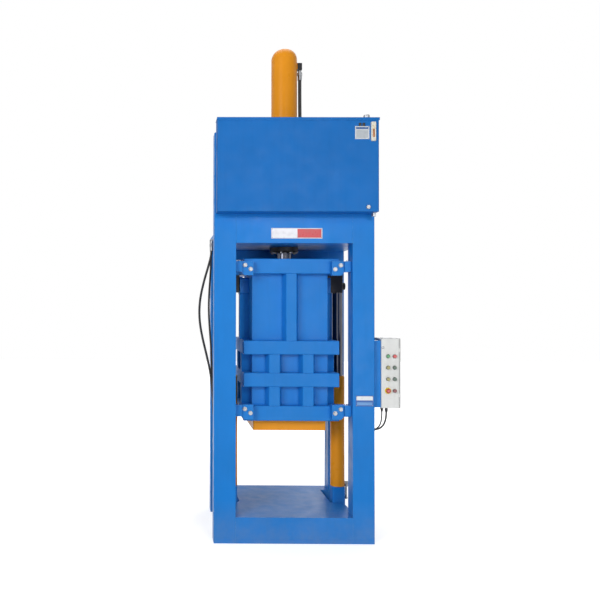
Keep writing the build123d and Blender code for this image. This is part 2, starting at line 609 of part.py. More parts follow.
def control_door():
    """A shallow sheet tray with eight button holes, hung on the two hinge pins."""
    sheet, play, corner, face_edge = 2, 2, 4, 1.5
    knuckle_gap, knuckle_height, socket_height = 0.5, 24, 20
    bottom, top = BOX_BOTTOM + play, BOX_TOP - play
    body = block(DOOR_LEFT, DOOR_RIGHT, DOOR_FRONT, DOOR_BACK, bottom, top)
    body = fillet(body.edges().filter_by(Axis.Y), corner)
    body = fillet(body.faces().sort_by(Axis.Y)[0].edges(), face_edge)
    inner_x = (DOOR_LEFT + sheet, DOOR_RIGHT - sheet)
    body -= block(*inner_x, DOOR_FRONT + sheet, DOOR_BACK + 1, bottom + sheet, top - sheet)
    for x in BUTTON_COLUMNS.values():
        for z in BUTTON_ROWS.values():
            body -= bar_y(x, DOOR_FRONT - 1, DOOR_FRONT + 2 * sheet, z, BUTTON_STEM + FIT)
    for z in HINGE_HEIGHTS:
        low, high = z + knuckle_gap, z + knuckle_height
        leaf = block(DOOR_RIGHT - 1, HINGE_X, DOOR_FRONT + sheet, HINGE_Y, low, high)
        knuckle = leaf + post(HINGE_X, HINGE_Y, low, high, HINGE_KNUCKLE)
        body += knuckle - post(HINGE_X, HINGE_Y, z, z + socket_height, HINGE_PIN + FIT)
    return body


def push_button(x, z):
    """A push button: a stem through the door and a proud round cap."""
    proud, cap_thick, cap_edge = 8, 6, 2
    cap_back = DOOR_FRONT - proud
    stem = bar_y(x, cap_back, STEM_END, z, BUTTON_STEM)
    cap = bar_y(x, cap_back - cap_thick, cap_back, z, BUTTON_CAP)
    return stem + fillet(cap.faces().sort_by(Axis.Y)[0].edges(), cap_edge)


def emergency_stop(x, z):
    """A mushroom button: a stem through the door and a wide domed head."""
    proud, cap_thick, cap_edge = 9, 11, 7
    cap_back = DOOR_FRONT - proud
    stem = bar_y(x, cap_back, STEM_END, z, BUTTON_STEM)
    cap = bar_y(x, cap_back - cap_thick, cap_back, z, STOP_CAP)
    return stem + fillet(cap.faces().sort_by(Axis.Y)[0].edges(), cap_edge)


def cable_glands():
    """Two glands under the control box and two in the column's right face."""
    nut, nut_height, collar, body, edge = 11, 8, 9, 10, 2
    column_face = HALF_WINDOW + FRONT_COLUMN_WIDTH
    glands = []
    for route in (FRONT_CABLE, REAR_CABLE):
        x, y, z = route[0]
        top = Pos(x, y, z) * hexagon(nut, nut_height) + post(x, y, z + nut_height, BOX_BOTTOM, collar)
        x, y, z = route[-1]
        side = bar_x(column_face, x, y, z, body)
        glands += [top, chamfer(side.faces().sort_by(Axis.X)[-1].edges(), edge)]
    return group(glands)


def tank_plugs():
    """The drain plug under the tank and the plug low on its front."""
    drain_nut, drain_height, side_nut, side_height = 15, 26, 14, 12
    drain = post(DRAIN_X, DRAIN_Y, HEAD_BEAM_TOP, HEAD_BEAM_TOP + TANK_WALL, DRAIN_STEM)
    drain += Pos(DRAIN_X, DRAIN_Y, HEAD_BEAM_TOP - drain_height) * hexagon(drain_nut, drain_height)
    side = bar_y(SIDE_PLUG_X, TANK_FRONT, TANK_FRONT + TANK_WALL, SIDE_PLUG_Z, DRAIN_STEM)
    side += Pos(SIDE_PLUG_X, TANK_FRONT, SIDE_PLUG_Z) * Rot(90, 0, 0) * hexagon(side_nut, side_height)
    return [drain, side]


def lift_hose_fittings(route):
    """The elbows at both ends of a lifting hose: on the head box and on the left barrel."""
    nut, nut_height, elbow, offset = 12, 22, 11, 44
    x, y, z = route[0]
    upper = Pos(x, y, z) * hexagon(nut, nut_height) + post(x, y, z + nut_height, z + offset, elbow)
    upper += bar_x(-HEAD_BOX_HALF, x - elbow, y, z + offset, elbow)
    x, y, z = route[-1]
    lower = bar_x(-LIFT_X, x - elbow, y, z - offset, elbow) + post(x, y, z - offset, z - nut_height, elbow)
    lower += Pos(x, y, z - nut_height) * hexagon(nut, nut_height)
    return [upper, lower - post(-LIFT_X, 0, LIFT_BOTTOM, LIFT_TOP, LIFT_RADIUS)]


def main_hose_fittings():
    """The straight fittings under the barrel's port block and on the manifold."""
    nut, upper_nut, lower_nut, upper_stem, lower_stem = 19, 26, 22, 12, 13
    x, y, z = MAIN_HOSE[0]
    upper = Pos(x, y, z) * hexagon(nut, upper_nut) + post(x, y, z + upper_nut, PORT_BOTTOM, upper_stem)
    x, y, z = MAIN_HOSE[-1]
    lower = Pos(x, y, z - lower_nut) * hexagon(nut, lower_nut)
    return [upper, lower + post(x, y, VALVE_TOP, z - lower_nut, lower_stem)]


def steel_pipes():
    """The pump's suction and pressure pipes, and the supply pipe of the right lifting cylinder."""
    suction_radius, pressure_radius, pressure_y, pressure_drop = 20, 11, -200, 10
    elbow, elbow_z, nut, nut_height, nut_top, knee = 12, 312, 14, 20, 304, 11
    suction = bar_y(MOTOR_X, -HALF_DEPTH, PUMP_FRONT, PUMP_Z, suction_radius)
    pressure = bar_x(MOTOR_X + PUMP_HALF, VALVE_X0, pressure_y, PUMP_Z - pressure_drop, pressure_radius)
    supply = bar_x(LIFT_X, SUPPLY_PIPE_X + elbow, 0, elbow_z, elbow)
    supply += Pos(SUPPLY_PIPE_X, 0, nut_top - nut_height) * hexagon(nut, nut_height)
    supply += post(SUPPLY_PIPE_X, 0, SUPPLY_PIPE_Z, elbow_z, SUPPLY_PIPE_RADIUS)
    supply += Pos(SUPPLY_PIPE_X, 0, SUPPLY_PIPE_Z) * Sphere(knee)
    supply += bar_y(SUPPLY_PIPE_X, 0, PORTAL_INNER, SUPPLY_PIPE_Z, SUPPLY_PIPE_RADIUS)
    return [suction, pressure, supply - post(LIFT_X, 0, LIFT_BOTTOM, LIFT_TOP, LIFT_RADIUS)]


def pipe_fittings():
    """Plugs of the tank, fittings of the hoses, and the steel pipes."""
    lifting = lift_hose_fittings(OUTER_HOSE) + lift_hose_fittings(INNER_HOSE)
    return group(tank_plugs() + lifting + main_hose_fittings() + steel_pipes())


def corner_radii(points):
    """The largest arcs that the runs beside each corner allow."""
    radii = []
    for before, corner, after in zip(points, points[1:], points[2:]):
        first, second = Vector(*corner) - Vector(*before), Vector(*after) - Vector(*corner)
        shorter = min(first.length, second.length)
        radii.append(ARC_SHARE * shorter / math.tan(math.radians(first.get_angle(second)) / 2))
    return radii


def cord(name, points, diameter):
    """A hose or cable: straight runs joined by tangent arcs."""
    radii = corner_radii(points)
    path = FilletPolyline(*points, radius=radii)
    start = Plane(path @ 0, z_dir=path % 0)
    tube = sweep(start * Circle(diameter / 2), path=path)
    expected = math.pi * (diameter / 2) ** 2 * path.length
    runs = [(Vector(*b) - Vector(*a)).length for a, b in zip(points, points[1:])]
    print(name, "length", round(path.length, 1), "volume/expected", round(tube.volume / expected, 4))
    print("  runs", [round(run) for run in runs], "radii", [round(radius) for radius in radii])
    return tube


BUTTONS = {
    "start_button": ("left", "top"),
    "stop_button": ("right", "top"),
    "ram_up_button": ("left", "upper"),
    "ram_down_button": ("right", "upper"),
    "chamber_up_button": ("left", "lower"),
    "chamber_down_button": ("right", "lower"),
    "emergency_stop": ("left", "bottom"),
    "reset_button": ("right", "bottom"),
}


def build():
    nodes = {
        "front_left_column": column(-1, True),
        "front_right_column": column(1, True),
        "rear_left_column": column(-1, False),
        "rear_right_column": column(1, False),
        "front_sill": front_sill(),
        "rear_sill": rear_sill(),
        "front_head_beam": front_head_beam(),
        "rear_head_beam": rear_head_beam(),
        "base_box": base_box(),
        "base_ties": base_ties(),
        "bed_plate": bed_plate(),
        "head_box": head_box(),
        "oil_tank": oil_tank(),
        "level_gauge": level_gauge(),
        "filler_breather": filler_breather(),
        "pipe_fittings": pipe_fittings(),
        "tank_plate": face_plate(*TANK_PLATE, TANK_FRONT),
        "name_plate": face_plate(*NAME_PLATE, -HALF_DEPTH),
        "column_plate": face_plate(*COLUMN_PLATE, -HALF_DEPTH),
        "main_barrel": main_barrel(),
        "main_gland": main_gland(),
        "flange_bolts": flange_bolts(),
        "port_block": port_block(),
        "electric_motor": electric_motor(),
        "pump_unit": pump_unit(),
        "valve_block": valve_block(),
        "left_lift_barrel": lift_barrel(-1),
        "right_lift_barrel": lift_barrel(1),
        "lift_feet": lift_feet(),
        "control_bracket": control_bracket(),
        "control_box": control_box(),
        "cable_glands": cable_glands(),
        "outer_hose": cord("outer_hose", OUTER_HOSE, OUTER_HOSE_DIAMETER),
        "inner_hose": cord("inner_hose", INNER_HOSE, INNER_HOSE_DIAMETER),
        "main_hose": cord("main_hose", MAIN_HOSE, MAIN_HOSE_DIAMETER),
        "front_cable": cord("front_cable", FRONT_CABLE, FRONT_CABLE_DIAMETER),
        "rear_cable": cord("rear_cable", REAR_CABLE, REAR_CABLE_DIAMETER),
        "control_door": control_door(),
        "ram_rod": ram_rod(),
        "main_piston": main_piston(),
        "platen": platen(),
        "chamber_panels": chamber_panels(),
        "chamber_rails": chamber_rails(),
        "chamber_ribs": chamber_ribs(),
        "guide_brackets": guide_brackets(),
        "guide_shoes": guide_shoes(),
        "guide_bolts": guide_bolts(),
        "left_lift_rod": lift_rod(-1),
        "right_lift_rod": lift_rod(1),
        "rod_end_blocks": rod_end_blocks(),
        "rod_end_pins": rod_end_pins(),
        "lift_lugs": lift_lugs(),
    }
    for name, (side, row) in BUTTONS.items():
        make = emergency_stop if name == "emergency_stop" else push_button
        nodes[name] = make(BUTTON_COLUMNS[side], BUTTON_ROWS[row])
    return nodes


os.makedirs("parts", exist_ok=True)
for name, shape in build().items():
    export_step(shape, f"parts/{name}.step")
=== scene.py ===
import math
import bmesh
import bpy
from mathutils import Matrix, Vector


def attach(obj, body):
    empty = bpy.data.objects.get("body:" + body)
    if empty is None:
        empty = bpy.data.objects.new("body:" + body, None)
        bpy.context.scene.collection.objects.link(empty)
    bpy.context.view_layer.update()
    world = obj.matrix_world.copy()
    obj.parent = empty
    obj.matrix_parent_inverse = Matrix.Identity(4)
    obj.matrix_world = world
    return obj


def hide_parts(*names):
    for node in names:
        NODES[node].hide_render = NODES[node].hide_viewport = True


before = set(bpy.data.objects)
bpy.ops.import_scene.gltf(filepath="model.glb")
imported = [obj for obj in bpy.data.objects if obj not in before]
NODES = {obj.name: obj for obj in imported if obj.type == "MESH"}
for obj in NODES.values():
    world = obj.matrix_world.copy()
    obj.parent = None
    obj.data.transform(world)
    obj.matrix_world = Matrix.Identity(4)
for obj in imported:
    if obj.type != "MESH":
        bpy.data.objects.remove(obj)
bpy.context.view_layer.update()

SCENE = bpy.context.scene

# Camera, in metres, radians and pixels of a 600 by 600 image
IMAGE = 600
CAMERA_PLACE = (-0.8805, -4.8863, 1.6303)
CAMERA_PITCH = 0.0141
CAMERA_YAW = 0.0073
CAMERA_ROLL = 0.0036
FOCAL_PX = 653.1
CENTRE_PX = (161.3, 295.3)
SENSOR = 36.0

# Floor glow for the rays that see the background: near and far distance, and the glow at each
FLOOR_FADE = (0.6, 3.2, 0.62, 1.0)
FLOOR_HALF = 14.0
WORLD_LIGHT = 0.22

# Gloss of the paints, and the X at which the name plate changes colour
PAINT_SPECULAR = 0.18
PLATE_SPLIT = 0.020

# Places of the small pieces, in metres, as the CAD has them
TANK_TOP = 2.883
DOOR_FRONT = -0.378
LOCK_PLACE = (0.613, -0.378, 1.340)
MOTOR = (-0.335, 2.298)
MOTOR_BACK = 0.310
RIB_SPREAD = 0.020
RAILS = ((0.818, 0.923), (1.055, 1.153), (1.282, 1.379), (1.850, 1.956))
RIBS = (
    (0.0, 0.0365, 1.379, 1.850),
    (-0.118, 0.0375, 0.923, 1.055), (0.118, 0.0375, 0.923, 1.055),
    (-0.118, 0.0375, 1.153, 1.282), (0.118, 0.0375, 1.153, 1.282),
)
SHOE_HEIGHTS = ((0.864, 0.934), (1.864, 1.930))
PLATES = (
    ((0.378, 0.473), -0.532, (2.740, 2.826)),
    ((-0.159, 0.191), -0.402, (2.087, 2.1585)),
    ((0.420, 0.540), -0.402, (0.939, 1.012)),
)
BUTTONS = {
    "start_button": (0.647, 1.280), "stop_button": (0.692, 1.280),
    "ram_up_button": (0.647, 1.202), "ram_down_button": (0.692, 1.202),
    "chamber_up_button": (0.647, 1.123), "chamber_down_button": (0.692, 1.123),
    "emergency_stop": (0.647, 1.043), "reset_button": (0.692, 1.043),
}

# Turned profiles: radius and height
SCREW = [(0.0048, 0.0), (0.0048, 0.0022), (0.0040, 0.0032)]
SMALL_SCREW = [(0.0026, 0.0), (0.0024, 0.0008), (0.0014, 0.0014)]
BOLT_HEAD = [(0.0095, 0.0), (0.0095, 0.0065), (0.0080, 0.0080)]
NIPPLE = [(0.0040, 0.0), (0.0040, 0.0050), (0.0022, 0.0065), (0.0026, 0.0100), (0.0010, 0.0120)]
FERRULE_LENGTH, FERRULE_GROOVES = 0.034, 3

# Hoses and cables: diameter, tube length and route
CORDS = {
    "outer_hose": (0.017, 1.713, [
        (-0.537, 0.050, 2.073), (-0.537, 0.050, 2.015), (-0.560, 0.050, 1.925), (-0.597, 0.052, 1.800),
        (-0.626, 0.054, 1.665), (-0.630, 0.054, 1.530), (-0.610, 0.052, 1.400), (-0.573, 0.048, 1.250),
        (-0.541, 0.038, 1.105), (-0.529, 0.026, 0.950), (-0.521, 0.008, 0.790), (-0.504, -0.010, 0.640),
        (-0.490, -0.020, 0.500), (-0.490, -0.020, 0.385),
    ]),
    "inner_hose": (0.015, 1.550, [
        (-0.537, 0.110, 2.073), (-0.537, 0.110, 1.990), (-0.541, 0.108, 1.870), (-0.551, 0.104, 1.735),
        (-0.556, 0.100, 1.600), (-0.549, 0.096, 1.460), (-0.537, 0.090, 1.310), (-0.532, 0.082, 1.150),
        (-0.529, 0.070, 1.000), (-0.520, 0.054, 0.860), (-0.504, 0.036, 0.730), (-0.490, 0.020, 0.620),
        (-0.490, 0.020, 0.530),
    ]),
    "main_hose": (0.026, 1.079, [
        (0.117, 0.000, 3.348), (0.117, 0.000, 3.190), (0.118, -0.001, 3.020), (0.122, -0.005, 2.888),
        (0.139, -0.024, 2.788), (0.170, -0.060, 2.700), (0.212, -0.107, 2.622), (0.255, -0.155, 2.545),
        (0.283, -0.187, 2.475), (0.295, -0.200, 2.405), (0.295, -0.200, 2.342),
    ]),
    "front_cable": (0.012, 0.187, [
        (0.651, -0.330, 0.904), (0.651, -0.330, 0.866), (0.645, -0.330, 0.830), (0.631, -0.330, 0.798),
        (0.609, -0.330, 0.778), (0.585, -0.330, 0.769), (0.562, -0.330, 0.769),
    ]),
    "rear_cable": (0.009, 0.184, [
        (0.630, -0.300, 0.904), (0.630, -0.300, 0.874), (0.628, -0.300, 0.842), (0.623, -0.300, 0.811),
        (0.611, -0.300, 0.785), (0.593, -0.300, 0.769), (0.574, -0.300, 0.762), (0.556, -0.300, 0.762),
    ]),
}


def linear(red, green, blue):
    """A colour given as 0 to 255 display values, as the shader wants it."""
    def one(value):
        value /= 255
        return value / 12.92 if value <= 0.04045 else ((value + 0.055) / 1.055) ** 2.4
    return (one(red), one(green), one(blue), 1.0)


class Shade:
    """A node material under construction."""

    def __init__(self, name, roughness=0.5, metallic=0.0, coat=0.0):
        self.material = bpy.data.materials.new(name)
        self.material.use_nodes = True
        self.tree = self.material.node_tree
        self.shader = self.tree.nodes["Principled BSDF"]
        self.shader.inputs["Roughness"].default_value = roughness
        self.shader.inputs["Metallic"].default_value = metallic
        self.shader.inputs["Coat Weight"].default_value = coat
        self.place = self.tree.nodes.new("ShaderNodeTexCoord").outputs["Object"]

    def node(self, kind, **settings):
        made = self.tree.nodes.new(kind)
        for key, value in settings.items():
            setattr(made, key, value)
        return made

    def feed(self, socket, value):
        """Links a socket, or writes a plain value into it."""
        if isinstance(value, bpy.types.NodeSocket):
            self.tree.links.new(value, socket)
        else:
            socket.default_value = value

    def stretched(self, scale):
        made = self.node("ShaderNodeMapping")
        self.feed(made.inputs["Vector"], self.place)
        made.inputs["Scale"].default_value = scale
        return made.outputs["Vector"]

    def noise(self, scale, detail=3.0, roughness=0.55, stretch=None):
        made = self.node("ShaderNodeTexNoise")
        self.feed(made.inputs["Vector"], self.stretched(stretch) if stretch else self.place)
        made.inputs["Scale"].default_value = scale
        made.inputs["Detail"].default_value = detail
        made.inputs["Roughness"].default_value = roughness
        return made.outputs["Fac"]

    def steps(self, value, low, high, out_low=0.0, out_high=1.0):
        """A value remapped from one range to another, held at the ends."""
        made = self.node("ShaderNodeMapRange")
        names = ("Value", "From Min", "From Max", "To Min", "To Max")
        for name, given in zip(names, (value, low, high, out_low, out_high)):
            self.feed(made.inputs[name], given)
        return made.outputs["Result"]

    def maths(self, operation, first, second=0.0):
        made = self.node("ShaderNodeMath", operation=operation)
        self.feed(made.inputs[0], first)
        self.feed(made.inputs[1], second)
        return made.outputs[0]

    def mix(self, factor, first, second):
        made = self.node("ShaderNodeMix", data_type="RGBA")
        self.feed(made.inputs["Factor"], factor)
        self.feed(made.inputs["A"], first)
        self.feed(made.inputs["B"], second)
        return made.outputs["Result"]

    def axis(self, name):
        made = self.node("ShaderNodeSeparateXYZ")
        self.feed(made.inputs[0], self.place)
        return made.outputs[name]

    def band(self, value, low, high, soft):
        """One inside a range of a value and nothing outside it, with soft ends."""
        rise = self.steps(value, low - soft, low + soft)
        fall = self.steps(value, high - soft, high + soft, 1.0, 0.0)
        return self.maths("MULTIPLY", rise, fall)

    def edges(self, radius=0.004):
        """High along the sharp edges of the mesh; also gives the bevelled normal."""
        bevel = self.node("ShaderNodeBevel", samples=4)
        bevel.inputs["Radius"].default_value = radius
        geometry = self.node("ShaderNodeNewGeometry")
        dot = self.node("ShaderNodeVectorMath", operation="DOT_PRODUCT")
        self.feed(dot.inputs[0], bevel.outputs["Normal"])
        self.feed(dot.inputs[1], geometry.outputs["Normal"])
        turned = self.steps(dot.outputs["Value"], 0.97, 0.80)
        return turned, bevel.outputs["Normal"]

    def bump(self, height, distance, strength=1.0, normal=None):
        made = self.node("ShaderNodeBump")
        made.inputs["Strength"].default_value = strength
        made.inputs["Distance"].default_value = distance
        self.feed(made.inputs["Height"], height)
        if normal is not None:
            self.feed(made.inputs["Normal"], normal)
        return made.outputs["Normal"]

    def finish(self, colour, roughness=None, normal=None):
        self.feed(self.shader.inputs["Base Color"], colour)
        if roughness is not None:
            self.feed(self.shader.inputs["Roughness"], roughness)
        if normal is not None:
            self.feed(self.shader.inputs["Normal"], normal)
        return self.material


def darker(colour, share):
    return tuple(channel * share for channel in colour[:3]) + (1.0,)


def paint(name, colour, edge_highlight, rough=0.34, dust=0.35, edge_highlight_share=0.5, peel=0.00022, rub=None):
    """Sprayed enamel: cloudy colour, fine orange peel, dust low down, and a painted highlight that makes the
    edges paler.
    """
    shade = Shade(name, roughness=rough)
    shade.shader.inputs["Specular IOR Level"].default_value = PAINT_SPECULAR
    cloud = shade.steps(shade.noise(2.3, 4.0), 0.35, 0.68)
    tone = shade.mix(cloud, darker(colour, 0.90), colour)
    streak = shade.steps(shade.noise(5.0, 3.0, stretch=(6.0, 6.0, 0.5)), 0.50, 0.80, 0.0, 0.22)
    tone = shade.mix(streak, tone, darker(colour, 0.72))
    speck = shade.steps(shade.noise(210.0, 2.0), 0.62, 0.80, 0.0, 0.18)
    tone = shade.mix(speck, tone, darker(colour, 0.80))
    low = shade.steps(shade.axis("Z"), 0.0, 0.30, dust, 0.0)
    dusty = shade.maths("MULTIPLY", low, shade.noise(14.0, 5.0))
    tone = shade.mix(dusty, tone, linear(150, 150, 140))
    edge, rounded = shade.edges()
    # Painted highlight: the edges, broken up by noise, are mixed toward the paler second colour, standing in
    # for the light the edges catch.
    edge_highlight_mask = shade.maths("MULTIPLY", edge, shade.steps(shade.noise(38.0, 4.0), 0.42, 0.62, 0.15, edge_highlight_share))
    tone = shade.mix(edge_highlight_mask, tone, edge_highlight)
    if rub is not None:
        tone = shade.mix(rub(shade), tone, linear(150, 158, 165))
    roughness = shade.steps(shade.noise(11.0, 4.0), 0.3, 0.7, rough - 0.06, rough + 0.12)
    height = shade.maths("ADD", shade.noise(420.0, 2.0), shade.maths("MULTIPLY", shade.noise(6.0, 2.0), 3.0))
    return shade.finish(tone, roughness, shade.bump(height, peel, 0.6, rounded))


def metal(name, colour, rough, streak_scale=(1.0, 1.0, 1.0), grain=160.0, depth=0.0001,
          stain=None, metallic=1.0):
    """Bare or plated steel with drawn marks, blotches, and edges mixed halfway toward a pale grey."""
    shade = Shade(name, roughness=rough, metallic=metallic)
    blotch = shade.steps(shade.noise(9.0, 5.0), 0.35, 0.70)
    tone = shade.mix(blotch, darker(colour, 0.72), colour)
    if stain is not None:
        tone = shade.mix(shade.steps(shade.noise(24.0, 5.0), 0.58, 0.72, 0.0, 0.6), tone, stain)
    edge, rounded = shade.edges(0.002)
    tone = shade.mix(shade.maths("MULTIPLY", edge, 0.5), tone, linear(225, 225, 222))
    drawn = shade.noise(grain, 3.0, stretch=streak_scale)
    roughness = shade.steps(drawn, 0.3, 0.7, max(rough - 0.08, 0.05), rough + 0.12)
    return shade.finish(tone, roughness, shade.bump(drawn, depth, 0.5, rounded))


def plastic(name, colour, rough=0.42, grain=500.0, depth=0.0001, coat=0.0):
    """Moulded plastic or rubber with a fine grain, a cloudy tone, and edges mixed toward a paler tone."""
    shade = Shade(name, roughness=rough, coat=coat)
    cloud = shade.steps(shade.noise(16.0, 4.0), 0.35, 0.70)
    tone = shade.mix(cloud, darker(colour, 0.82), colour)
    edge, rounded = shade.edges(0.0015)
    paler = tuple(min(1.0, channel * 1.25 + 0.02) for channel in colour[:3]) + (1.0,)
    tone = shade.mix(shade.maths("MULTIPLY", edge, 0.5), tone, paler)
    roughness = shade.steps(shade.noise(40.0, 3.0), 0.3, 0.7, rough - 0.05, rough + 0.10)
    return shade.finish(tone, roughness, shade.bump(shade.noise(grain, 2.0), depth, 0.5, rounded))


BLUE = linear(22, 128, 214)
# Painted highlight: the paler blue that the edges of the blue paint are mixed toward.
BLUE_EDGE_HIGHLIGHT = linear(120, 185, 232)
ORANGE = linear(246, 158, 30)


def shoe_tracks(shade):
    """Rubbed tracks where the guide shoes run on the inner faces of the columns."""
    near_x = shade.band(shade.maths("ABSOLUTE", shade.axis("X")), 0.395, 0.4008, 0.0004)
    near_y = shade.band(shade.maths("ABSOLUTE", shade.axis("Y")), 0.306, 0.362, 0.004)
    height = shade.band(shade.axis("Z"), 0.28, 1.94, 0.05)
    scratch = shade.steps(shade.noise(30.0, 5.0, stretch=(4.0, 4.0, 0.12)), 0.46, 0.64, 0.0, 0.85)
    track = shade.maths("MULTIPLY", near_x, near_y)
    return shade.maths("MULTIPLY", track, shade.maths("MULTIPLY", height, scratch))


def two_tone_plate():
    """The plain name plate: a pale field on the left, a red one on the right, with a fine border."""
    shade = Shade("name_plate_fields", roughness=0.32)
    across, up = shade.axis("X"), shade.axis("Z")
    split = shade.steps(across, PLATE_SPLIT - 0.0006, PLATE_SPLIT + 0.0006)
    tone = shade.mix(split, linear(232, 232, 236), linear(196, 34, 48))
    wide, tall = shade.band(across, -0.153, 0.185, 0.0006), shade.band(up, 2.0925, 2.153, 0.0006)
    inside = shade.maths("MULTIPLY", wide, tall)
    tone = shade.mix(inside, linear(214, 216, 220), tone)
    grime = shade.steps(shade.noise(30.0, 5.0), 0.45, 0.75, 0.0, 0.22)
    tone = shade.mix(grime, tone, linear(120, 116, 116))
    roughness = shade.steps(shade.noise(60.0, 3.0), 0.3, 0.7, 0.24, 0.42)
    return shade.finish(tone, roughness, shade.bump(shade.noise(300.0), 0.0001, 0.4))


def field_plate(name, ground, fields):
    """A plain plate with flat fields of colour: each field is its X range, Z range and colour."""
    shade = Shade(name, roughness=0.35)
    across, up = shade.axis("X"), shade.axis("Z")
    tone = ground
    for (x0, x1), (z0, z1), colour in fields:
        inside = shade.maths("MULTIPLY", shade.band(across, x0, x1, 0.0006), shade.band(up, z0, z1, 0.0006))
        tone = shade.mix(inside, tone, colour)
    grime = shade.steps(shade.noise(40.0, 5.0), 0.50, 0.80, 0.0, 0.25)
    tone = shade.mix(grime, tone, linear(110, 112, 116))
    roughness = shade.steps(shade.noise(60.0, 3.0), 0.3, 0.7, 0.26, 0.45)
    return shade.finish(tone, roughness, shade.bump(shade.noise(300.0), 0.0001, 0.4))


def hose_rubber(name, colour, pitch):
    """Black hose rubber with a faint wrapped texture."""
    shade = Shade(name, roughness=0.5)
    cloud = shade.steps(shade.noise(20.0, 4.0), 0.35, 0.70)
    tone = shade.mix(cloud, colour, tuple(channel * 1.9 + 0.004 for channel in colour[:3]) + (1.0,))
    wrap = shade.node("ShaderNodeTexWave", wave_type="BANDS", bands_direction="Z")
    shade.feed(wrap.inputs["Vector"], shade.place)
    wrap.inputs["Scale"].default_value = pitch
    wrap.inputs["Distortion"].default_value = 0.6
    roughness = shade.steps(shade.noise(50.0, 3.0), 0.3, 0.7, 0.42, 0.62)
    return shade.finish(tone, roughness, shade.bump(wrap.outputs["Fac"], 0.0003, 0.5))


# The second colour given to each paint is the painted highlight along its edges.
MATERIALS = {
    "blue": paint("frame_enamel", BLUE, BLUE_EDGE_HIGHLIGHT),
    "column": paint("column_enamel", BLUE, BLUE_EDGE_HIGHLIGHT, rub=shoe_tracks),
    "tank": paint("tank_enamel", linear(18, 110, 190), BLUE_EDGE_HIGHLIGHT,
                  rough=0.46, dust=0.0, edge_highlight_share=0.35, peel=0.0004),
    "chamber": paint("chamber_enamel", linear(30, 128, 212), linear(150, 196, 232),
                     rough=0.36, dust=0.0, edge_highlight_share=0.7),
    "orange": paint("orange_enamel", ORANGE, linear(252, 210, 140), rough=0.30, dust=0.0, edge_highlight_share=0.4),
    "chrome": metal("oily_chrome", linear(92, 94, 104), 0.16, (1.0, 1.0, 0.05), 60.0, 0.00005),
    "dark": metal("black_steel", linear(38, 38, 42), 0.42, stain=linear(70, 52, 40), metallic=0.6),
    "bright": metal("zinc_plate", linear(160, 162, 166), 0.34),
    "cabinet": paint("cabinet_powder_coat", linear(238, 239, 236), linear(250, 250, 248),
                     rough=0.42, dust=0.0, edge_highlight_share=0.2),
    "motor": paint("motor_enamel", linear(58, 82, 112), linear(120, 138, 158),
                   rough=0.42, dust=0.0, edge_highlight_share=0.5),
    "black": plastic("black_plastic", linear(26, 26, 28), 0.45),
    "gauge": plastic("gauge_frame", linear(232, 228, 214), 0.35, coat=0.2),
    "green": plastic("green_button", linear(30, 140, 70), 0.25, coat=0.4),
    "dark_green": plastic("dark_green_button", linear(36, 74, 52), 0.28, coat=0.4),
    "red": plastic("red_button", linear(196, 28, 30), 0.25, coat=0.4),
    "dark_red": plastic("dark_red_button", linear(120, 30, 34), 0.28, coat=0.4),
    "olive": plastic("olive_button", linear(150, 140, 60), 0.28, coat=0.4),
    "name_plate": two_tone_plate(),
    "tank_plate": field_plate("tank_plate_fields", linear(206, 210, 214), [
        ((0.384, 0.467), (2.806, 2.820), linear(40, 84, 140)),
        ((0.386, 0.465), (2.747, 2.800), linear(176, 182, 188)),
    ]),
    "column_plate": field_plate("column_plate_fields", linear(36, 92, 168), [
        ((0.424, 0.536), (0.980, 1.008), linear(226, 230, 234)),
        ((0.428, 0.532), (0.946, 0.966), linear(96, 150, 206)),
    ]),
    "hose": hose_rubber("hose_rubber", linear(24, 24, 26), 260.0),
    "cable": plastic("cable_jacket", linear(28, 28, 30), 0.5, 300.0),
    "duct": plastic("grey_plastic", linear(158, 162, 166), 0.45),
    "yellow": plastic("yellow_ring", linear(238, 204, 30), 0.35, coat=0.2),
    "bezel": plastic("grey_bezel", linear(150, 152, 150), 0.30, coat=0.2),
    "pad": plastic("wear_pad", linear(206, 200, 176), 0.40),
    "sight": field_plate("sight_glass_fields", linear(226, 214, 184), [
        ((0.4920, 0.5060), (2.7500, 2.8060), linear(166, 96, 26)),
    ]),
    # Painted shade: the cabinet body is a greyer copy of the door's white, standing in for the shade on the
    # body's flange beside the door.
    "box": paint("cabinet_body_shaded_coat", linear(206, 207, 204), linear(240, 240, 238),
                 rough=0.42, dust=0.0, edge_highlight_share=0.2),
}

NODE_FINISH = {
    "column": ["front_left_column", "front_right_column", "rear_left_column", "rear_right_column"],
    "blue": ["front_sill", "rear_sill", "front_head_beam", "rear_head_beam", "base_box", "base_ties",
             "bed_plate", "head_box", "lift_feet", "control_bracket"],
    "tank": ["oil_tank"],
    "chamber": ["chamber_panels", "chamber_rails", "chamber_ribs", "guide_brackets", "guide_shoes",
                "lift_lugs"],
    "orange": ["main_barrel", "platen", "left_lift_barrel", "right_lift_barrel"],
    "chrome": ["ram_rod", "left_lift_rod", "right_lift_rod"],
    "dark": ["main_gland", "port_block", "rod_end_blocks", "rod_end_pins", "main_piston"],
    "bright": ["pipe_fittings", "flange_bolts", "guide_bolts", "filler_breather"],
    "cabinet": ["control_door"],
    "box": ["control_box"],
    "motor": ["electric_motor", "pump_unit", "valve_block"],
    "black": ["cable_glands"],
    "gauge": ["level_gauge"],
    "name_plate": ["name_plate"],
    "tank_plate": ["tank_plate"],
    "column_plate": ["column_plate"],
    "green": ["start_button"],
    "red": ["stop_button", "emergency_stop"],
    "olive": ["ram_up_button", "chamber_up_button"],
    "dark_green": ["ram_down_button", "chamber_down_button"],
    "dark_red": ["reset_button"],
}
for finish, names in NODE_FINISH.items():
    for name in names:
        mesh = NODES[name].data
        mesh.materials.clear()
        mesh.materials.append(MATERIALS[finish])


def piece(name, mesh, finish, body):
    """A new visible piece: an object with a finish that rides on a body."""
    made = bpy.data.objects.new(name, mesh)
    SCENE.collection.objects.link(made)
    made.data.materials.append(MATERIALS[finish])
    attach(made, body)
    return made


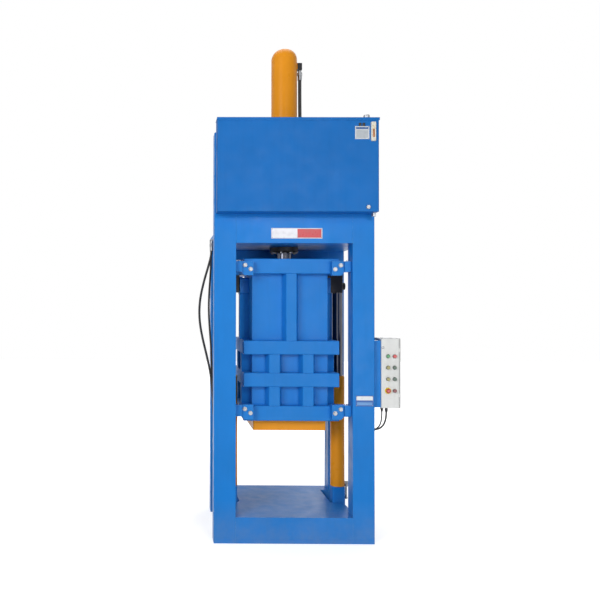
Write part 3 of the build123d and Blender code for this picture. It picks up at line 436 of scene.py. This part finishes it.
def add_turned(build, profile, place, direction, turns=32):
    """Adds a turned shape to a mesh under construction, along a direction from a place."""
    turn = Vector((0, 0, 1)).rotation_difference(Vector(direction)).to_matrix().to_4x4()
    move = Matrix.Translation(Vector(place)) @ turn
    rings = []
    for radius, height in profile:
        ring = []
        for step in range(turns):
            angle = 2 * math.pi * step / turns
            point = Vector((radius * math.cos(angle), radius * math.sin(angle), height))
            ring.append(build.verts.new(move @ point))
        rings.append(ring)
    for lower, upper in zip(rings, rings[1:]):
        for step in range(turns):
            after = (step + 1) % turns
            build.faces.new((lower[step], lower[after], upper[after], upper[step]))
    build.faces.new(list(reversed(rings[0])))
    build.faces.new(rings[-1])


def add_ring(build, inner, outer, height, place, direction, turns=40, edge=0.0006):
    """Adds a flat ring with softened rims."""
    turn = Vector((0, 0, 1)).rotation_difference(Vector(direction)).to_matrix().to_4x4()
    move = Matrix.Translation(Vector(place)) @ turn
    profile = [(inner, 0.0), (outer, 0.0), (outer, height - edge), (outer - edge, height),
               (inner + edge, height), (inner, height - edge)]
    rings = []
    for step in range(turns):
        angle = 2 * math.pi * step / turns
        rings.append([build.verts.new(move @ Vector((r * math.cos(angle), r * math.sin(angle), h)))
                      for r, h in profile])
    for step in range(turns):
        here, after = rings[step], rings[(step + 1) % turns]
        for corner in range(len(profile)):
            following = (corner + 1) % len(profile)
            build.faces.new((here[corner], after[corner], after[following], here[following]))


def add_box(build, low, high, edge=0.0015):
    """Adds a box with bevelled edges between two corners."""
    low, high = Vector(low), Vector(high)
    made = bmesh.ops.create_cube(build, size=1.0)["verts"]
    size = high - low
    for vert in made:
        vert.co = Vector((vert.co[axis] * size[axis] for axis in range(3))) + (low + high) / 2
    edges = list({line for vert in made for line in vert.link_edges})
    bmesh.ops.bevel(build, geom=edges, offset=edge, segments=2, profile=0.7, affect="EDGES")


def finished(build, name, finish, body, angle=35.0):
    """Turns a mesh under construction into a piece with smooth faces and crisp edges."""
    bmesh.ops.recalc_face_normals(build, faces=build.faces)
    mesh = bpy.data.meshes.new(name)
    build.to_mesh(mesh)
    build.free()
    mesh.polygons.foreach_set("use_smooth", [True] * len(mesh.polygons))
    mesh.set_sharp_from_angle(angle=math.radians(angle))
    return piece(name, mesh, finish, body)


def spline(name, points, radius):
    """A round tube along one smooth open spline."""
    curve = bpy.data.curves.new(name, "CURVE")
    curve.dimensions = "3D"
    curve.bevel_depth = radius
    curve.bevel_resolution = 5
    curve.resolution_u = 10
    curve.use_fill_caps = True
    line = curve.splines.new("NURBS")
    line.points.add(len(points) - 1)
    for target, point in zip(line.points, points):
        target.co = (*point, 1.0)
    line.order_u = 3
    line.use_endpoint_u = True
    return curve


def make_hose_trim():
    """Crimped ferrules at the ends of the hoses, and boots at the ends of the cables."""
    ferrules = bmesh.new()
    for name in ("outer_hose", "inner_hose", "main_hose"):
        diameter, _, points = CORDS[name]
        radius, length = diameter / 2 + 0.0035, FERRULE_LENGTH
        profile = [(radius - 0.001, 0.0), (radius, 0.001)]
        for groove in range(FERRULE_GROOVES):
            low = length * (groove + 0.6) / (FERRULE_GROOVES + 0.6)
            profile += [(radius, low), (radius - 0.0012, low + 0.0015)]
            profile += [(radius - 0.0012, low + 0.003), (radius, low + 0.0045)]
        profile += [(radius, length - 0.001), (radius - 0.002, length)]
        for end, inward in ((points[0], -1), (points[-1], 1)):
            add_turned(ferrules, profile, end, (0, 0, inward))
    finished(ferrules, "hose_ferrules", "bright", "frame")
    rings = bmesh.new()
    for name in ("front_cable", "rear_cable"):
        diameter, _, points = CORDS[name]
        cone = [(diameter / 2 + 0.0004, -0.016), (diameter / 2 + 0.0026, -0.010), (diameter / 2 + 0.004, 0.0)]
        add_turned(rings, cone, points[0], (0, 0, 1))
        add_turned(rings, cone, points[-1], (-1, 0, 0))
    finished(rings, "cable_boots", "black", "frame")


def make_tank_trim():
    """The tank's lid, screws, sight glass and side seams, and two small clips over the tank plate."""
    lid = bmesh.new()
    add_box(lid, (-0.543, -0.5335, TANK_TOP - 0.001), (0.543, -0.4, TANK_TOP + 0.003), 0.0012)
    add_box(lid, (-0.543, -0.5335, TANK_TOP - 0.016), (0.543, -0.5305, TANK_TOP), 0.0010)
    finished(lid, "tank_lid", "tank", "frame")
    screws = bmesh.new()
    for step in range(9):
        x = -0.50 + 0.115 * step
        for y in (-0.517, -0.412):
            if abs(x - 0.476) > 0.03:
                add_turned(screws, SCREW, (x, y, TANK_TOP + 0.003), (0, 0, 1), 6)
    finished(screws, "lid_screws", "bright", "frame")
    glass = bmesh.new()
    add_box(glass, (0.4915, -0.5446, 2.7505), (0.5065, -0.5396, 2.8295), 0.0012)
    finished(glass, "sight_glass", "sight", "frame")
    clips = bmesh.new()
    for x in (0.411, 0.436):
        add_box(clips, (x - 0.008, -0.5362, 2.8268), (x + 0.008, -0.5300, 2.8480), 0.0015)
        add_turned(clips, SCREW, (x, -0.5362, 2.8400), (0, -1, 0), 6)
    finished(clips, "plate_clips", "black", "frame")
    seams = bmesh.new()
    for x in (-0.5400, 0.5400):
        add_box(seams, (x - 0.0012, -0.5180, 2.2580), (x + 0.0012, -0.5155, 2.8660), 0.0006)
    finished(seams, "tank_seams", "tank", "frame")


def make_plate_rivets():
    rivets = bmesh.new()
    dome = [(0.0030, 0.0), (0.0027, 0.0010), (0.0016, 0.0017), (0.0004, 0.0020)]
    for (x0, x1), y, (z0, z1) in PLATES:
        for x in (x0 + 0.006, x1 - 0.006):
            for z in (z0 + 0.006, z1 - 0.006):
                add_turned(rivets, dome, (x, y, z), (0, -1, 0), 12)
    finished(rivets, "plate_rivets", "bright", "frame")


def make_button_trim():
    """Bezels round the push buttons, a yellow ring under the emergency stop, and the door's lock."""
    bezels, ring = bmesh.new(), bmesh.new()
    for name, (x, z) in BUTTONS.items():
        if name == "emergency_stop":
            add_ring(ring, 0.0088, 0.0220, 0.0022, (x, DOOR_FRONT, z), (0, -1, 0), 48)
        else:
            add_ring(bezels, 0.0088, 0.0148, 0.0042, (x, DOOR_FRONT, z), (0, -1, 0), 40, 0.0012)
    finished(bezels, "button_bezels", "bezel", "door")
    finished(ring, "emergency_ring", "yellow", "door")
    lock = bmesh.new()
    add_turned(lock, [(0.0095, 0.0), (0.0095, 0.002), (0.0075, 0.0034)], LOCK_PLACE, (0, -1, 0), 28)
    add_box(lock, (LOCK_PLACE[0] - 0.0012, LOCK_PLACE[1] - 0.0042, LOCK_PLACE[2] - 0.005),
            (LOCK_PLACE[0] + 0.0012, LOCK_PLACE[1] - 0.0030, LOCK_PLACE[2] + 0.005), 0.0004)
    finished(lock, "door_lock", "bright", "door")


def make_cabinet_inside():
    """What the open door shows: contact blocks on the door, and the gear on the mounting plate."""
    blocks = bmesh.new()
    for x, z in BUTTONS.values():
        add_box(blocks, (x - 0.012, -0.346, z - 0.013), (x + 0.012, -0.318, z + 0.013), 0.0012)
        for side in (-1, 1):
            edge = sorted((x + side * 0.0095, x + side * 0.0120))
            add_box(blocks, (edge[0], -0.3758, z - 0.010), (edge[1], -0.3445, z + 0.010), 0.0005)
            add_turned(blocks, SCREW, (x + side * 0.006, -0.318, z + side * 0.007), (0, 1, 0), 10)
    finished(blocks, "contact_blocks", "black", "door")
    plate = bmesh.new()
    add_box(plate, (0.609, -0.2320, 0.945), (0.728, -0.2295, 1.380), 0.0006)
    for z in (1.000, 1.200, 1.300):
        add_box(plate, (0.630, -0.2370, z - 0.0175), (0.727, -0.2340, z + 0.0175), 0.0006)
        add_box(plate, (0.632, -0.2345, z - 0.0125), (0.725, -0.2315, z + 0.0125), 0.0006)
    finished(plate, "mounting_plate", "bright", "frame")
    gear = bmesh.new()
    for x in (0.652, 0.700):
        for z in (1.200, 1.300):
            add_box(gear, (x - 0.021, -0.2820, z - 0.036), (x + 0.021, -0.2365, z + 0.036), 0.0020)
            add_box(gear, (x - 0.019, -0.3050, z - 0.018), (x + 0.019, -0.2815, z + 0.018), 0.0020)
    finished(gear, "contactors", "black", "frame")
    terminals = bmesh.new()
    for step in range(11):
        x = 0.6355 + 0.0080 * step
        add_box(terminals, (x, -0.2760, 0.978), (x + 0.0070, -0.2365, 1.022), 0.0008)
    finished(terminals, "terminal_strip", "duct", "frame")
    screws = bmesh.new()
    for step in range(11):
        x = 0.6390 + 0.0080 * step
        for z in (0.986, 1.014):
            add_turned(screws, SMALL_SCREW, (x, -0.2760, z), (0, -1, 0), 10)
    for x in (0.652, 0.700):
        for z in (1.200, 1.300):
            for across in (-0.012, 0.0, 0.012):
                for up in (-0.028, 0.028):
                    add_turned(screws, SMALL_SCREW, (x + across, -0.2820, z + up), (0, -1, 0), 10)
    finished(screws, "terminal_screws", "bright", "frame")
    duct = bmesh.new()
    for step in range(26):
        z = 0.952 + 0.0160 * step
        add_box(duct, (0.6075, -0.2700, z), (0.6095, -0.2320, z + 0.0115), 0.0005)
        add_box(duct, (0.6235, -0.2700, z), (0.6255, -0.2320, z + 0.0115), 0.0005)
    add_box(duct, (0.6070, -0.2725, 0.950), (0.6260, -0.2700, 1.370), 0.0008)
    finished(duct, "wire_duct", "duct", "frame")


def make_drive_trim():
    """Fan guard with a painted-shade disc behind it, terminal box lid, coil plugs and bolts of the drive and
    the main gland.
    """
    guard, dark = bmesh.new(), bmesh.new()
    centre = (MOTOR[0], MOTOR_BACK, MOTOR[1])
    # Painted shade: a thin black disc behind the guard stands in for the shade inside the fan cowl.
    add_ring(dark, 0.010, 0.088, 0.0006, centre, (0, 1, 0), 48, 0.0002)
    for ring in range(6):
        radius = 0.016 + 0.0145 * ring
        add_ring(guard, radius, radius + 0.003, 0.0030, centre, (0, 1, 0), 48, 0.0008)
    for spoke in range(6):
        angle = math.pi * spoke / 3
        for step in range(14):
            reach = 0.014 + 0.0058 * step
            x, z = MOTOR[0] + reach * math.cos(angle), MOTOR[1] + reach * math.sin(angle)
            add_turned(guard, [(0.0020, 0.0), (0.0016, 0.0036)], (x, MOTOR_BACK, z), (0, 1, 0), 8)
    finished(guard, "fan_guard", "motor", "frame")
    finished(dark, "fan_shade_disc", "black", "frame")
    lid = bmesh.new()
    low, high = (MOTOR[0] - 0.054, 0.028, 2.4680), (MOTOR[0] + 0.054, 0.152, 2.4740)
    add_box(lid, low, high, 0.0018)
    for x in (low[0] + 0.008, high[0] - 0.008):
        for y in (low[1] + 0.008, high[1] - 0.008):
            add_turned(lid, SMALL_SCREW, (x, y, high[2]), (0, 0, 1), 12)
    finished(lid, "terminal_box_lid", "motor", "frame")
    plugs = bmesh.new()
    for y in (-0.275, -0.125):
        add_box(plugs, (0.216, y - 0.013, 2.3540), (0.244, y + 0.013, 2.3830), 0.0025)
    finished(plugs, "coil_plugs", "black", "frame")
    bolts = bmesh.new()
    for x in (-0.375, -0.295):
        for z in (2.242, 2.338):
            add_turned(bolts, BOLT_HEAD, (x, -0.244, z), (0, -1, 0), 6)
    for angle in range(8):
        turn = math.pi * (angle + 0.5) / 4
        x, z = MOTOR[0] + 0.090 * math.cos(turn), MOTOR[1] + 0.090 * math.sin(turn)
        add_turned(bolts, BOLT_HEAD, (x, -0.088, z), (0, -1, 0), 6)
    for angle in range(8):
        turn = math.pi * (angle + 0.5) / 4
        add_turned(bolts, BOLT_HEAD, (0.090 * math.cos(turn), 0.090 * math.sin(turn), 2.020), (0, 0, -1), 6)
    for x in (0.200, 0.320):
        for y in (-0.250, -0.150):
            add_turned(bolts, BOLT_HEAD, (x, y, 2.310), (0, 0, 1), 6)
    finished(bolts, "drive_bolts", "bright", "frame")


def make_guide_trim():
    """Pale wear pads on the guide shoes, and grease nipples on top of them."""
    pads, nipples = bmesh.new(), bmesh.new()
    for side in (-1, 1):
        for face in (-1, 1):
            for z0, z1 in SHOE_HEIGHTS:
                x = sorted((side * 0.3981, side * 0.3994))
                y = sorted((face * 0.308, face * 0.358))
                add_box(pads, (x[0], y[0], z0), (x[1], y[1], z1), 0.0004)
                add_turned(nipples, NIPPLE, (side * 0.377, face * 0.334, z1 + 0.004), (0, 0, 1), 10)
    finished(pads, "wear_pads", "pad", "chamber")
    finished(nipples, "grease_nipples", "bright", "chamber")


def add_weld(build, path, radius):
    """Adds a rippled weld bead along a path of points."""
    sides = 7
    rings = []
    for start, end in zip(path, path[1:]):
        start, end = Vector(start), Vector(end)
        along = end - start
        steps = max(2, round(along.length / (radius * 0.8)))
        across = along.orthogonal().normalized()
        other = along.normalized().cross(across)
        for step in range(steps + (end == Vector(path[-1]))):
            ripple = 0.16 * math.cos(math.pi * step)
            swell = radius * (1.0 + ripple + 0.10 * math.sin(1.7 * step + start.x * 40))
            centre = start + along * (step / steps)
            ring = [build.verts.new(centre + swell * (across * math.cos(a) + other * math.sin(a)))
                    for a in (2 * math.pi * corner / sides for corner in range(sides))]
            rings.append(ring)
    for lower, upper in zip(rings, rings[1:]):
        for corner in range(sides):
            after = (corner + 1) % sides
            build.faces.new((lower[corner], lower[after], upper[after], upper[corner]))
    build.faces.new(list(reversed(rings[0])))
    build.faces.new(rings[-1])


def circle(x, y, z, radius, steps=28):
    angles = [2 * math.pi * step / steps for step in range(steps + 1)]
    return [(x + radius * math.cos(angle), y + radius * math.sin(angle), z) for angle in angles]


def make_welds():
    """Weld beads of the chamber's ribs and rails, the feet, the cabinet's bracket and the port."""
    seams = bmesh.new()
    for face in (-1, 1):
        for x, half, z0, z1 in RIBS:
            for side in (-1, 1):
                foot = x + side * (half + RIB_SPREAD + 0.001)
                y = face * 0.2365
                add_weld(seams, [(foot, y, z0 + 0.004), (foot, y, z1 - 0.004)], 0.0032)
            for z in (z0, z1):
                ends = [(x - half + 0.006, face * 0.2958, z), (x + half - 0.006, face * 0.2958, z)]
                add_weld(seams, ends, 0.0026)
        for z0, z1 in RAILS:
            for z in (z0, z1):
                for x in (-0.215, 0.215):
                    add_weld(seams, [(x - 0.032, face * 0.2365, z), (x + 0.032, face * 0.2365, z)], 0.0030)
            for side in (-1, 1):
                x, y = side * 0.3325, face * 0.2355
                add_weld(seams, [(x, y, z0 + 0.008), (x, y, z1 - 0.008)], 0.0030)
    for side in (-1, 1):
        for y, half, z0, z1 in RIBS:
            top = min(z1, 1.711)
            for edge in (-1, 1):
                foot = y + edge * (half + RIB_SPREAD + 0.001)
                x = side * 0.2690
                add_weld(seams, [(x, foot, z0 + 0.004), (x, foot, top - 0.004)], 0.0032)
    finished(seams, "chamber_welds", "chamber", "chamber", 80.0)
    frame_seams = bmesh.new()
    for side in (-1, 1):
        x = side * 0.398
        corners = [(x - 0.049, -0.049), (x + 0.049, -0.049), (x + 0.049, 0.049), (x - 0.049, 0.049)]
        for (x0, y0), (x1, y1) in zip(corners, corners[1:] + corners[:1]):
            add_weld(frame_seams, [(x0, y0, 0.0615), (x1, y1, 0.0615)], 0.0035)
        add_weld(frame_seams, circle(x, 0.0, 0.2900, 0.0500), 0.0032)
    add_weld(frame_seams, [(0.5515, -0.3700, 0.932), (0.5515, -0.3700, 1.383)], 0.0028)
    add_weld(frame_seams, [(0.5515, -0.3670, 1.3885), (0.5515, -0.3000, 1.3885)], 0.0028)
    add_weld(frame_seams, [(0.5515, -0.3670, 0.9265), (0.5515, -0.3000, 0.9265)], 0.0028)
    finished(frame_seams, "frame_welds", "blue", "frame", 80.0)
    port = bmesh.new()
    for y in (-0.0225, 0.0225):
        add_weld(port, [(0.0935, y, 3.392), (0.0935, y, 3.438)], 0.0028)
    finished(port, "port_welds", "orange", "frame", 80.0)


def make_cords():
    for name, (diameter, length, points) in CORDS.items():
        finish = "cable" if "cable" in name else "hose"
        curve = spline(name + "_line", points, diameter / 2)
        made = piece(name + "_line", curve, finish, "frame")
        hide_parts(name)


def make_camera():
    data = bpy.data.cameras.new("photo_camera")
    data.sensor_width = SENSOR
    data.lens = FOCAL_PX / IMAGE * SENSOR
    data.shift_x = (IMAGE / 2 - CENTRE_PX[0]) / IMAGE
    data.shift_y = (CENTRE_PX[1] - IMAGE / 2) / IMAGE
    data.clip_end = 100.0
    camera = bpy.data.objects.new("photo_camera", data)
    SCENE.collection.objects.link(camera)
    tilt = Matrix.Rotation(math.pi / 2 + CAMERA_PITCH, 4, "X") @ Matrix.Rotation(CAMERA_ROLL, 4, "Z")
    camera.matrix_world = Matrix.Translation(CAMERA_PLACE) @ Matrix.Rotation(CAMERA_YAW, 4, "Z") @ tilt
    SCENE.camera = camera


def lamp(name, place, target, size, power):
    data = bpy.data.lights.new(name, "AREA")
    data.shape = "RECTANGLE"
    data.size, data.size_y = size
    data.energy = power
    made = bpy.data.objects.new(name, data)
    SCENE.collection.objects.link(made)
    made.location = place
    made.rotation_euler = (Vector(target) - Vector(place)).to_track_quat("-Z", "Y").to_euler()
    return made


def make_lights():
    lamp("key", (-4.2, -5.2, 3.4), (0.0, 0.0, 1.5), (2.2, 2.8), 183.0)
    lamp("front", (0.85, -5.4, 3.25), (0.0, -0.5, 1.4), (1.5, 0.8), 60.0)
    lamp("low", (1.8, -6.0, 0.9), (0.0, 0.0, 1.0), (2.6, 1.6), 47.0)
    lamp("top", (0.0, 0.6, 6.2), (0.0, 0.0, 1.5), (3.0, 3.0), 51.0)
    lamp("back", (2.5, 5.0, 3.2), (0.0, 0.0, 1.6), (2.5, 2.5), 51.0)


def background_rays(nodes, links):
    """One for the rays that see the background: camera, mirror-like and see-through rays."""
    rays = nodes.new("ShaderNodeLightPath")
    seen = rays.outputs["Is Camera Ray"]
    for name in ("Is Glossy Ray", "Is Transmission Ray"):
        either = nodes.new("ShaderNodeMath")
        either.operation = "MAXIMUM"
        links.new(seen, either.inputs[0])
        links.new(rays.outputs[name], either.inputs[1])
        seen = either.outputs[0]
    return seen


def make_world():
    world = bpy.data.worlds.new("studio")
    SCENE.world = world
    world.use_nodes = True
    nodes, links = world.node_tree.nodes, world.node_tree.links
    nodes.clear()
    output = nodes.new("ShaderNodeOutputWorld")
    shown, lit = nodes.new("ShaderNodeBackground"), nodes.new("ShaderNodeBackground")
    shown.inputs["Color"].default_value = (1.0, 1.0, 1.0, 1.0)
    shown.inputs["Strength"].default_value = 1.0
    lit.inputs["Color"].default_value = (0.93, 0.96, 1.0, 1.0)
    lit.inputs["Strength"].default_value = WORLD_LIGHT
    mix = nodes.new("ShaderNodeMixShader")
    links.new(background_rays(nodes, links), mix.inputs["Fac"])
    links.new(lit.outputs[0], mix.inputs[1])
    links.new(shown.outputs[0], mix.inputs[2])
    links.new(mix.outputs[0], output.inputs["Surface"])


def make_floor():
    """A pale floor that keeps the shadow and fades to white for the camera."""
    build = bmesh.new()
    half = FLOOR_HALF
    flat = ((-half, -half), (half, -half), (half, half), (-half, half))
    corners = [build.verts.new((x, y, 0.0)) for x, y in flat]
    build.faces.new(corners)
    mesh = bpy.data.meshes.new("floor")
    build.to_mesh(mesh)
    build.free()
    floor = bpy.data.objects.new("floor", mesh)
    SCENE.collection.objects.link(floor)
    material = bpy.data.materials.new("pale_floor")
    material.use_nodes = True
    nodes, links = material.node_tree.nodes, material.node_tree.links
    shader = nodes["Principled BSDF"]
    shader.inputs["Base Color"].default_value = (0.80, 0.80, 0.80, 1.0)
    shader.inputs["Roughness"].default_value = 0.75
    place = nodes.new("ShaderNodeTexCoord")
    far = nodes.new("ShaderNodeVectorMath")
    far.operation = "LENGTH"
    fade = nodes.new("ShaderNodeMapRange")
    for name, value in zip(("From Min", "From Max", "To Min", "To Max"), FLOOR_FADE):
        fade.inputs[name].default_value = value
    glow = nodes.new("ShaderNodeEmission")
    add = nodes.new("ShaderNodeAddShader")
    mix = nodes.new("ShaderNodeMixShader")
    links.new(place.outputs["Object"], far.inputs[0])
    links.new(far.outputs["Value"], fade.inputs["Value"])
    links.new(fade.outputs["Result"], glow.inputs["Strength"])
    links.new(shader.outputs[0], add.inputs[0])
    links.new(glow.outputs[0], add.inputs[1])
    links.new(background_rays(nodes, links), mix.inputs["Fac"])
    links.new(shader.outputs[0], mix.inputs[1])
    links.new(add.outputs[0], mix.inputs[2])
    links.new(mix.outputs[0], nodes["Material Output"].inputs["Surface"])
    mesh.materials.append(material)


make_camera()
make_cords()
make_hose_trim()
make_tank_trim()
make_plate_rivets()
make_button_trim()
make_cabinet_inside()
make_drive_trim()
make_guide_trim()
make_welds()
make_lights()
make_world()
make_floor()
SCENE.view_settings.view_transform = "Standard"
bpy.context.view_layer.update()
